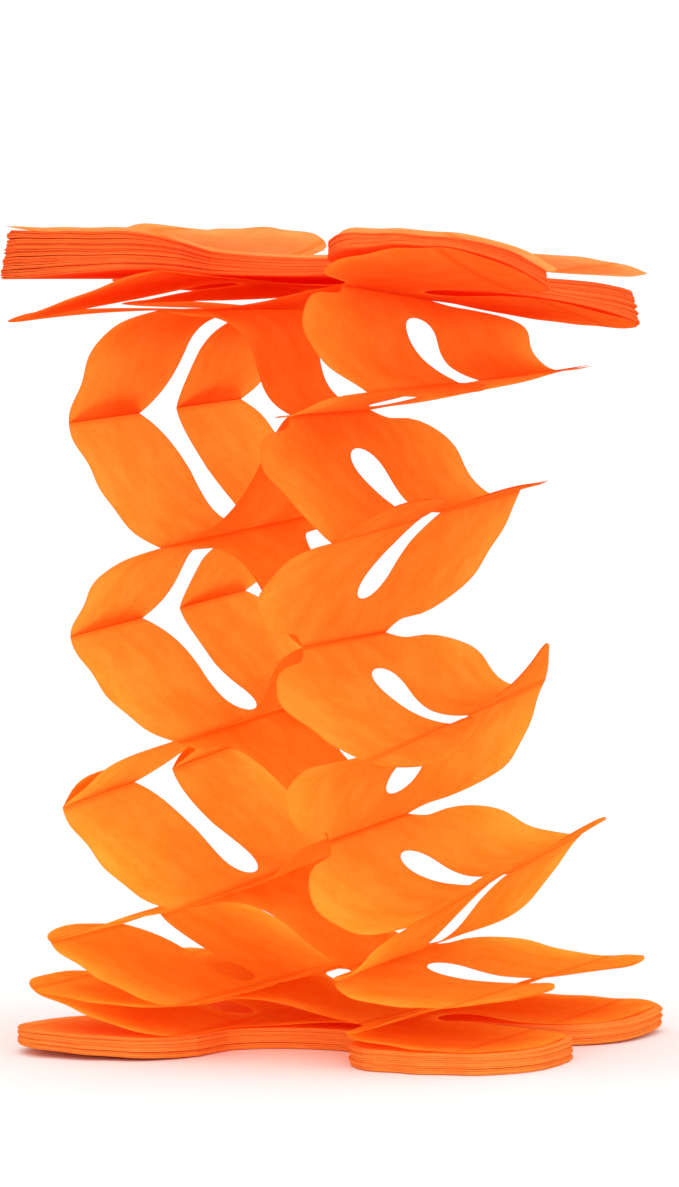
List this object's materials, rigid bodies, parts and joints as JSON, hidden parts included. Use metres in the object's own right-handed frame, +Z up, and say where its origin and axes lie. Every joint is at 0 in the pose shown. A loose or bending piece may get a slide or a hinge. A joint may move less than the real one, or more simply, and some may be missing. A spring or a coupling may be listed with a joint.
{
  "type": "paper clover garland",
  "caption": "Tissue-paper clover garland: a honeycomb pad of petal-shaped sheets glued along lines, drawn part open into a zigzag column between flat piles, as a hanging decoration.",
  "frame": {"origin": "middle of the bottom pile's underside, on the surface that the garland stands on", "axes": "+Z up along the column; the glue lines run level, turned 21 degrees from +Y towards +X"},
  "size_m": [0.1537, 0.1496, 0.1974],
  "materials": {
    "tissue_sheet": "matte",
    "tissue_pile": "matte"
  },
  "bodies": {
    "root": {"top_pile": "tissue_pile", "loose_sheet": "tissue_sheet", "open_sheet_01": "tissue_sheet", "open_sheet_02": "tissue_sheet", "open_sheet_03": "tissue_sheet", "open_sheet_04": "tissue_sheet", "open_sheet_05": "tissue_sheet", "open_sheet_06": "tissue_sheet", "open_sheet_07": "tissue_sheet", "open_sheet_08": "tissue_sheet", "open_sheet_09": "tissue_sheet", "open_sheet_10": "tissue_sheet", "open_sheet_11": "tissue_sheet", "open_sheet_12": "tissue_sheet", "bottom_pile": "tissue_pile"}
  },
  "joints": []
}
